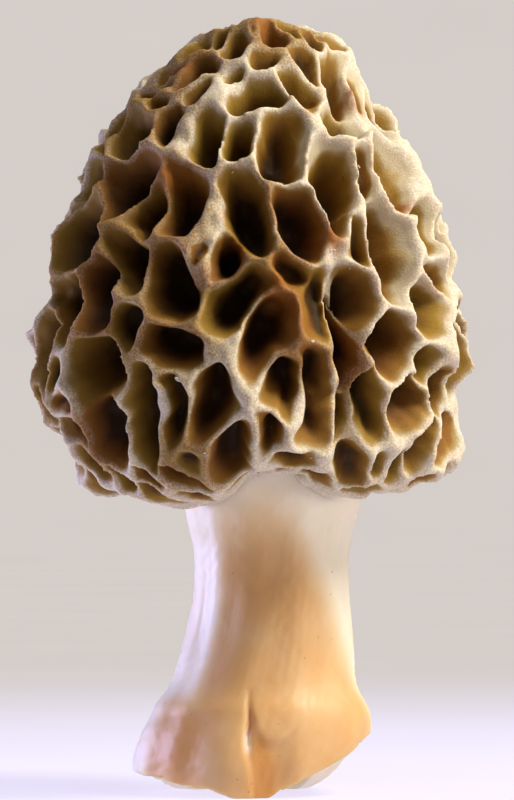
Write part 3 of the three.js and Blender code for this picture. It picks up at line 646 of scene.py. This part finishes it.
def stem_flesh_material(colours):
    """Fresh morel stem: moist, waxy, translucent flesh, cream lightened with painted light, and amber
    that is partly thin flesh and partly painted shade and glow.
    """
    material, add, place = new_material("fresh_morel_stem_waxy")
    amber_and_shade, cut = (
        add("Attribute", attribute_name=name).outputs["Fac"] for name in ("amber_and_shade", "cut"))
    patches = add("TexNoise", {"Vector": place, "Scale": per_mm(7), "Detail": 2, "Roughness": 0.5})
    grains = add("TexNoise",
                 {"Vector": place, "Scale": per_mm(0.45), "Detail": 3, "Roughness": 0.6})
    # The amber stops paint the shade of the stem's front and the glow of light through its thin flesh.
    pushed = add("Math", {0: patches.outputs["Fac"], 1: 0.5, 2: -0.25}, operation="MULTIPLY_ADD")
    depth = add("Math", {0: amber_and_shade, 1: pushed.outputs[0]}, operation="ADD", use_clamp=True)
    flesh = add("ValToRGB", {"Fac": depth.outputs[0]}, stops=[
        (0.0, colours.stem_cream_lit), (0.35, colours.stem_straw), (0.7, colours.stem_amber_shade),
        (1.0, colours.stem_tear_shade)])

    # Brown specks, each about a fifth of a millimetre across, stand a few millimetres apart.
    cells = add("TexVoronoi", {"Vector": place, "Scale": per_mm(1.6)})
    dot = add("MapRange", {"Value": cells.outputs["Distance"], "From Min": 0.04, "From Max": 0.1,
                           "To Min": 0.6, "To Max": 0.0})
    chosen = add("SeparateColor", {"Color": cells.outputs["Color"]})
    few = add("Math", {0: chosen.outputs["Red"], 1: 0.6}, operation="GREATER_THAN")
    specks = add("Math", {0: dot.outputs[0], 1: few.outputs[0]}, operation="MULTIPLY")
    speckled = add("Mix", {"Factor": specks.outputs[0], 6: flesh.outputs["Color"],
                           7: colours.speck}, data_type="RGBA")
    # Bare cut flesh is pale, and the tear's gape is painted light shining through the wall.
    ended = add("Mix", {"Factor": cut, 6: speckled.outputs[2], 7: colours.cut_face_and_gape_light},
                data_type="RGBA")
    bump = add("Bump", {"Height": grains.outputs["Fac"], "Strength": 0.25, "Distance": 0.1 * MM})
    shader = add("BsdfPrincipled", {
        "Base Color": ended.outputs[2], "Roughness": 0.48, "Normal": bump.outputs["Normal"],
        "IOR": 1.4, "Subsurface Weight": 0.65, "Subsurface Radius": (1.0, 0.75, 0.5),
        "Subsurface Scale": 3.2 * MM})
    add("OutputMaterial", {"Surface": shader.outputs["BSDF"]})
    return material


def grain_material(name, colour, grain):
    """A loose grain of sand or soil: matt, with a mottled colour."""
    material, add, place = new_material(name)
    mottle = add("TexNoise",
                 {"Vector": place, "Scale": per_mm(grain), "Detail": 3, "Roughness": 0.6})
    tint = add("ValToRGB", {"Fac": mottle.outputs["Fac"]}, stops=[
        (0.3, tuple(c * 0.6 for c in linear(colour)[:3]) + (1.0,)), (0.7, colour)])
    bump = add("Bump", {"Height": mottle.outputs["Fac"], "Strength": 0.4, "Distance": 0.05 * MM})
    shader = add("BsdfPrincipled", {
        "Base Color": tint.outputs["Color"], "Roughness": 0.5, "Normal": bump.outputs["Normal"],
        "IOR": 1.5})
    add("OutputMaterial", {"Surface": shader.outputs["BSDF"]})
    return material


def backdrop_material(studio):
    """A pale, matt paper sweep, cooler close to the object than further away."""
    material, add, place = new_material("matt_paper_sweep")
    reach = add("VectorMath", {0: place}, operation="LENGTH")
    fade = add("MapRange", {"Value": reach.outputs["Value"], "From Min": studio.near_reach,
                            "From Max": studio.far_reach}, interpolation_type="SMOOTHERSTEP")
    tint = add("Mix", {"Factor": fade.outputs[0], 6: studio.paper_near, 7: studio.paper_far},
               data_type="RGBA")
    fibre = add("TexNoise", {"Vector": place, "Scale": per_mm(60), "Detail": 2, "Roughness": 0.5})
    weak = add("MapRange", {"Value": fibre.outputs["Fac"], "To Min": 0.97, "To Max": 1.03})
    paper = add("VectorMath", {0: tint.outputs[2], 3: weak.outputs[0]}, operation="SCALE")

    # The sweep looks evenly lit, gives the object less light than that would, and only the paper
    # near the object takes light from the soft boxes.
    ray = add("LightPath")
    light = add("MapRange", {"Value": fade.outputs[0], "To Min": studio.near_light,
                             "To Max": studio.far_light})
    glow = add("MapRange", {"Value": ray.outputs["Is Camera Ray"], "To Min": light.outputs[0],
                            "To Max": studio.paper_glow})
    bounce = add("MapRange", {"Value": fade.outputs[0], "To Min": studio.paper_bounce,
                              "To Max": 0.0})
    dim = add("VectorMath", {0: paper.outputs[0], 3: bounce.outputs[0]}, operation="SCALE")
    shader = add("BsdfPrincipled", {
        "Base Color": dim.outputs[0], "Roughness": 0.9, "Specular IOR Level": 0.1,
        "Emission Color": paper.outputs[0], "Emission Strength": glow.outputs[0]})
    add("OutputMaterial", {"Surface": shader.outputs["BSDF"]})
    return material


# ---- Settings ------------------------------------------------------------------------------------


def colour_setting(name, description, default):
    return bpy.props.StringProperty(name=name, description=description, default=default)


def number_setting(name, description, default, **settings):
    return bpy.props.FloatProperty(name=name, description=description, default=default, **settings)


class MorelShape(bpy.types.PropertyGroup):
    crest_width: number_setting("Crest Width", "Width of the ridge crests, in millimetres", 0.35)
    mouth_slack: number_setting(
        "Mouth Slack", "How far a pit may stand back from a ridge, in millimetres", 2.4)
    face_size: number_setting(
        "Face Size", "Size of the cap's faces before they are thinned out", 0.34 * MM,
        unit="LENGTH")
    face_limit: bpy.props.IntProperty(
        name="Face Limit", description="Most triangles in the cap", default=180000)


class MorelColours(bpy.types.PropertyGroup):
    ridge: colour_setting("Ridge", "Crests of the ridges", "#c9bb9b")
    ridge_side: colour_setting("Ridge Side", "Just below the crests", "#a88d55")
    wall: colour_setting("Wall", "Upper walls of the olive pits", "#98782a")
    wall_brown: colour_setting("Brown Wall", "Upper walls of the brown pits", "#8e6122")
    # The deep walls and floors of the pits are their ochre darkened with painted shade.
    deep_olive_shade: colour_setting("Deep Olive", "Lower walls of the olive pits", "#79591a")
    deep_brown_shade: colour_setting("Deep Brown", "Lower walls of the brown pits", "#6e4316")
    floor_olive_shade: colour_setting("Olive Floor", "Floors of the olive pits", "#3a280a")
    floor_brown_shade: colour_setting("Brown Floor", "Floors of the brown pits", "#331d08")
    frost: colour_setting("Frost", "Pale grains on the crests", "#f6efe6")
    bruise: colour_setting("Bruise", "Rust-brown bruises on the ridges", "#92591c")
    hollow: colour_setting("Hollow", "Lining of the hollow", "#e9dcc4")
    # The cream is lightened as painted light where the cap shades the top of the stem.
    stem_cream_lit: colour_setting("Stem Cream", "Thick flesh of the stem", "#f8ecd4")
    # Straw, amber and the tear's orange are partly thin flesh and partly painted shade and painted glow
    # of light through the flesh.
    stem_straw: colour_setting("Stem Straw", "Middling flesh of the stem", "#ebd2a6")
    stem_amber_shade: colour_setting("Stem Amber", "Thin, translucent flesh of the stem", "#deb67e")
    stem_tear_shade: colour_setting("Stem Tear", "Thinnest flesh, beside the tear in the foot", "#d39a54")
    speck: colour_setting("Specks", "Brown specks on the stem", "#a8713c")
    # The cut face's colour also paints the light that shines through the tear's gape.
    cut_face_and_gape_light: colour_setting("Cut Face", "Flesh where the foot was cut or torn", "#fff4e6")
    grit: colour_setting("Grit", "Pale grains that cling to the ridges", "#efe0c6")
    soil: colour_setting("Soil", "Crumbs of dark soil", "#1d1715")


class MorelStudio(bpy.types.PropertyGroup):
    paper_near: colour_setting("Near Paper", "Backdrop beside the object", "#e6e1f6")
    paper_far: colour_setting("Far Paper", "Backdrop away from the object", "#e0d8d3")
    room: colour_setting("Room", "Faint light from all round", "#ece8e6")
    room_light: number_setting("Room Light", "Strength of the faint light from all round", 0.15)
    near_reach: number_setting(
        "Near Reach", "Where the near tint starts to fade", 0.06, unit="LENGTH")
    far_reach: number_setting("Far Reach", "Where the far tint is reached", 0.5, unit="LENGTH")
    paper_glow: number_setting("Paper Glow", "How bright the backdrop looks by itself", 0.89)
    paper_bounce: number_setting(
        "Paper Bounce", "Share of the near paper's tint that the soft boxes light", 0.3)
    near_light: number_setting(
        "Near Light", "Light that the floor beside the object gives it", 0.68)
    far_light: number_setting("Far Light", "Light that the rest of the sweep gives it", 0.06)
    light_power: number_setting(
        "Light Power", "What each soft box's share of the power is taken from, in watts", 1.5)
    lens: number_setting("Lens", "Focal length, in millimetres", 300)


# ---- Pieces --------------------------------------------------------------------------------------


def settings():
    scene = bpy.context.scene
    return scene.morel_shape, scene.morel_colours, scene.morel_studio


class MOREL_OT_cap(bpy.types.Operator):
    """Builds the pitted cap"""

    bl_idname = "morel.add_cap"
    bl_label = "Cap"

    def execute(self, context):
        shape, colours, _ = settings()
        pits = Pits()
        bm = bmesh.new()
        bmesh.ops.create_icosphere(bm, subdivisions=8, radius=1.0)
        cap = new_object("cap", bm)
        dirs = mesh_points(cap.data)
        dirs /= np.linalg.norm(dirs, axis=1)[:, None]
        radius, _, _ = cap_surface(dirs, pits, shape.crest_width, shape.mouth_slack)
        set_mesh_points(cap.data, (dirs * radius[:, None] + CAP_CENTRE) * MM)

        even = cap.modifiers.new("even_faces", "REMESH")
        even.mode = "VOXEL"
        even.voxel_size = shape.face_size
        bake_modifiers(cap)
        thin = cap.modifiers.new("fewer_faces", "DECIMATE")
        thin.ratio = min(1.0, shape.face_limit / (2 * len(cap.data.polygons)))
        bake_modifiers(cap)
        cut_hollow(cap)

        points = mesh_points(cap.data) / MM - CAP_CENTRE
        reach = np.linalg.norm(points, axis=1)
        dirs = points / reach[:, None]
        radius, own, share = cap_surface(dirs, pits, shape.crest_width, shape.mouth_slack)
        lining = (radius - reach > LINING_DEPTH).astype(float)
        tones = np.array([scatter(i * 3.7) for i in range(len(pits.depth))])
        level = crest_points(dirs)
        point_attribute(cap.data, "pit_share", share)
        point_attribute(cap.data, "pit_tone", tones[own])
        point_attribute(cap.data, "bruise", np.max(near_places(level, BRUISES), axis=0))
        # Old flesh and painted shade darken the cap, and the pale places lighten it.
        age_and_shade = np.max(near_places(level, AGED_AND_SHADE), axis=0) - np.max(near_places(level, PALE), axis=0)
        point_attribute(cap.data, "age_and_shade", age_and_shade)
        point_attribute(cap.data, "hollow", lining)
        finish_mesh(cap.data, cap_flesh_material(colours))
        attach(cap, "root")
        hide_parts("morel")
        return {"FINISHED"}


def stem_points(points):
    """Moves the points of a plain turned tube to their place on the folded, cut stem.

    The tube's radius says where a point lies in the stem's wall, from 1 on the inside to 2 on
    the outside. Returns the places, each point's share of the wall, its azimuth and its height.
    """
    azimuth = np.degrees(np.arctan2(points[:, 0], -points[:, 1]))
    wall = np.linalg.norm(points[:, :2], axis=1) - 1
    around = np.radians(azimuth)
    ring = np.stack([np.sin(around) * PATTERN_RADIUS, np.cos(around) * PATTERN_RADIUS,
                     points[:, 2]], axis=1)
    cut = np.maximum(0, along_curve(CUT_HEIGHT, azimuth))
    level_ring = ring * np.array([1, 1, 0])
    ragged = 0.3 * ripple(level_ring, 3, 31) + 0.2 * ripple(level_ring, 1.1, 32)
    cut += np.maximum(0, ragged) * smooth_step(0.05, 0.8, cut)
    height = points[:, 2] + cut * np.clip(1 - points[:, 2] / CUT_REACH, 0, 1)

    # Shallow flutes and deeper folds, which grow towards the foot.
    share = np.clip(1 - height / FOLD_TOP, 0, 1)
    change = -0.22 * share * np.sin(7 * around) - 0.07 * np.sin(11 * around + 0.9)
    for place, depth, half_width in STEM_FOLDS:
        change -= depth * (0.4 + 0.6 * share) * np.exp(-(((azimuth - place) / half_width) ** 2))
    drawn = ring * np.array([1, 1, 0.55])
    change += 0.28 * ripple(drawn, 9, 21) + 0.06 * ripple(drawn, 4, 22) + 0.03 * ripple(ring, 1.2, 23)
    # Fine upright wrinkles on the left of the stem.
    upright = ring * np.array([1, 1, 0.12])
    change += 0.025 * ripple(upright, 1.5, 24) * np.exp(-(((azimuth + 62) / 22) ** 2))
    # The tear: a narrow split whose right flap laps over a lower, thinner patch.
    tear_place = along_curve(TEAR, height, 1)
    tear_depth = along_curve(TEAR, height, 2)
    change -= tear_depth * np.exp(-(((azimuth - tear_place) / 1.2) ** 2))
    beside = smooth_step(-1, 3, azimuth - tear_place) * smooth_step(26, 12, azimuth - tear_place)
    lap_edge = 6.2 + 0.02 * (azimuth - 8) ** 2
    change -= 0.5 * beside * smooth_step(lap_edge + 0.9, lap_edge - 0.8, height)

    outside = along_curve(STEM_SECTIONS, height, 2) + change
    inside = along_curve(HOLLOW_SECTIONS, height) + 0.15 * ripple(ring, 4, 25)
    reach = inside + (outside - inside) * wall
    lean = along_curve(HOLLOW_LEAN, height)
    lean += (along_curve(STEM_SECTIONS, height, 1) - lean) * wall
    places = np.stack([lean + reach * np.sin(around), -reach * np.cos(around), height], axis=1)
    return places, wall, azimuth, height


class MOREL_OT_stem(bpy.types.Operator):
    """Builds the hollow stem with its flared, ragged foot"""

    bl_idname = "morel.add_stem"
    bl_label = "Stem"

    def execute(self, context):
        _, colours, _ = settings()
        top = STEM_SECTIONS[-1][0]
        # The cut's outer edge is rounded.
        outer_edge = [(2 - 0.1 * (1 - math.cos(t)), 0.3 * (1 - math.sin(t)))
                      for t in (1.57, 1, 0.5)]
        outside = [(2, z) for z in heights(0.3, top, 0.28)]
        inside = [(1, z) for z in heights(top, 0, 0.6)]
        foot = [(share, 0) for share in heights(1.1, 1.8, 0.1)]
        tube = spun_profile(outer_edge + outside + inside + foot, TUBE_STEPS, 1)
        stem = new_object("stem", tube)
        places, wall, azimuth, height = stem_points(mesh_points(stem.data))
        set_mesh_points(stem.data, places * MM)

        # Amber in the middle of the front, edged by cream: partly thin flesh, partly painted shade and
        # painted glow of light through the flesh.
        left_edge = smooth_step(-50, -30, azimuth)
        left_edge = np.maximum(left_edge, smooth_step(-72, -58, azimuth) * smooth_step(13, 9, height))
        right_from = along_curve(AMBER_RIGHT, height)
        right_edge = smooth_step(right_from + 20, right_from - 16, azimuth)
        amber_and_shade = 0.72 * left_edge * right_edge * smooth_step(38, 27, height)
        from_tear = azimuth - along_curve(TEAR, height, 1)
        tear = np.exp(-(((from_tear - 5) / 7) ** 2))
        amber_and_shade += 0.35 * tear * smooth_step(8.5, 6, height)
        flare = smooth_step(-80, -58, azimuth) * smooth_step(-18, -38, azimuth)
        amber_and_shade += 0.12 * flare * smooth_step(13, 9, height)
        back = smooth_step(85, 130, np.abs(azimuth))
        amber_and_shade = (1 - back) * amber_and_shade + back * 0.4 * smooth_step(32, 12, height)
        point_attribute(stem.data, "amber_and_shade", np.where(wall > 0.5, amber_and_shade, 0.15))
        # The tear gapes in its middle, where painted light shines through the stem's wall.
        gape_light = np.exp(-((from_tear / 1.3) ** 2) - ((height - GAPE_LIGHT_HEIGHT) / 1.3) ** 4)
        bare = (wall < 0.95) & (wall > 0.05)
        point_attribute(stem.data, "cut", np.where(bare, 0.5, np.where(wall > 0.5, gape_light, 0)))
        finish_mesh(stem.data, stem_flesh_material(colours))
        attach(stem, "root")
        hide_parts("morel")
        return {"FINISHED"}



class MOREL_OT_grit(bpy.types.Operator):
    """Scatters the pale grains and the dark soil crumbs that cling to the ridges"""

    bl_idname = "morel.add_grit"
    bl_label = "Clinging Grit"

    def execute(self, context):
        shape, colours, _ = settings()
        pits = Pits()
        for name, places, material in (
            ("clinging_grains", GRAINS, grain_material("dry_sand_grains", colours.grit, 0.3)),
            ("soil_crumbs", SOIL_CRUMBS, grain_material("damp_soil_crumbs", colours.soil, 0.2)),
        ):
            bm = bmesh.new()
            draw = np.random.default_rng(len(places))
            dirs = directions(np.array([p[0] for p in places], dtype=float),
                              np.array([p[1] for p in places], dtype=float))
            radius, _, _ = cap_surface(dirs, pits, shape.crest_width, shape.mouth_slack)
            for (_, _, length), way, reach in zip(places, dirs, radius):
                spot = Vector((way * (reach + length * 0.15) + CAP_CENTRE) * MM)
                turn = Vector(draw.normal(size=3)).to_track_quat("Z", "Y").to_matrix().to_4x4()
                size = Vector((0.55, 0.45, 1.0)) * (length / 2 * MM)
                placing = Matrix.Translation(spot) @ turn @ Matrix.Diagonal(size).to_4x4()
                lump = bmesh.ops.create_icosphere(bm, subdivisions=2, radius=1.0)["verts"]
                for vert in lump:
                    vert.co *= 1 + draw.uniform(-0.16, 0.16)
                bmesh.ops.transform(bm, verts=lump, matrix=placing)
            piece = new_object(name, bm)
            finish_mesh(piece.data, material)
            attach(piece, "root")
        return {"FINISHED"}


# ---- Studio --------------------------------------------------------------------------------------


def soft_box(name, aim, azimuth, elevation, distance, width, height, colour, power, beam):
    data = bpy.data.lights.new(name, "AREA")
    data.shape = "RECTANGLE"
    data.size, data.size_y = width, height
    data.energy = power
    data.color = linear(colour)[:3]
    data.spread = math.radians(beam)
    light = bpy.data.objects.new(name, data)
    way = Vector(directions(np.array(azimuth), np.array(90 - elevation)))
    light.location = Vector((0, 0, aim * MM)) + way * distance
    light.rotation_euler = way.to_track_quat("Z", "Y").to_euler()
    light.visible_camera = False
    bpy.context.scene.collection.objects.link(light)


class MOREL_OT_stage(bpy.types.Operator):
    """Builds the pale sweep all round the object, its lights and its camera"""

    bl_idname = "morel.add_stage"
    bl_label = "Studio"

    def execute(self, context):
        _, _, studio = settings()
        scene = bpy.context.scene
        low, high = CAD_BOX
        floor, tall = low.z, high.z - low.z

        # The sweep is a round floor whose edge curves up into a wall all the way round.
        bend = [(SWEEP_FLAT + SWEEP_BEND * math.sin(t), floor + SWEEP_BEND * (1 - math.cos(t)))
                for t in np.linspace(0, math.pi / 2, 12)]
        outline = [(0, floor), (0.3, floor), *bend, (SWEEP_FLAT + SWEEP_BEND, floor + SWEEP_WALL)]
        sweep = new_object("paper_sweep", spun_profile(outline, 96, 1, closed=False))
        finish_mesh(sweep.data, backdrop_material(studio))

        for *placing, share, beam in SOFT_BOXES:
            soft_box(*placing, studio.light_power * share, beam)

        world = bpy.data.worlds.new("pale_room")
        world.use_nodes = True
        room = world.node_tree.nodes["Background"].inputs
        room["Color"].default_value = linear(studio.room)
        room["Strength"].default_value = studio.room_light
        scene.world = world
        scene.view_settings.view_transform = "Standard"

        camera = bpy.data.objects.new("camera", bpy.data.cameras.new("camera"))
        camera.data.sensor_width = 36
        camera.data.lens = studio.lens
        shown = tall / FRAME_SHARE
        distance = shown / 2 / (camera.data.sensor_width / 2 / studio.lens)
        look = Vector((LOOK_RIGHT, 0, floor + LOOK_HEIGHT * shown))
        eye = Vector((look.x, -distance, floor + EYE_HEIGHT * tall))
        camera.location = eye
        camera.rotation_euler = (look - eye).to_track_quat("-Z", "Y").to_euler()
        scene.collection.objects.link(camera)
        scene.camera = camera
        return {"FINISHED"}


class MOREL_PT_sidebar(bpy.types.Panel):
    """Lists the pieces of the morel and the studio"""

    bl_idname = "MOREL_PT_sidebar"
    bl_label = "Morel Mushroom"
    bl_space_type = "VIEW_3D"
    bl_region_type = "UI"
    bl_category = "Morel"

    def draw(self, context):
        for operator in OPERATORS:
            self.layout.operator(operator.bl_idname)


GROUPS = {"morel_shape": MorelShape, "morel_colours": MorelColours, "morel_studio": MorelStudio}
OPERATORS = (MOREL_OT_stage, MOREL_OT_cap, MOREL_OT_stem, MOREL_OT_grit)


def register():
    for made in (*GROUPS.values(), *OPERATORS, MOREL_PT_sidebar):
        bpy.utils.register_class(made)
    for name, group in GROUPS.items():
        setattr(bpy.types.Scene, name, bpy.props.PointerProperty(type=group))


def unregister():
    for name in GROUPS:
        delattr(bpy.types.Scene, name)
    for made in (MOREL_PT_sidebar, *reversed(OPERATORS), *reversed(list(GROUPS.values()))):
        bpy.utils.unregister_class(made)


def main():
    register()
    bpy.ops.morel.add_stage()
    bpy.ops.morel.add_cap()
    bpy.ops.morel.add_stem()
    bpy.ops.morel.add_grit()


if __name__ == "__main__":
    main()
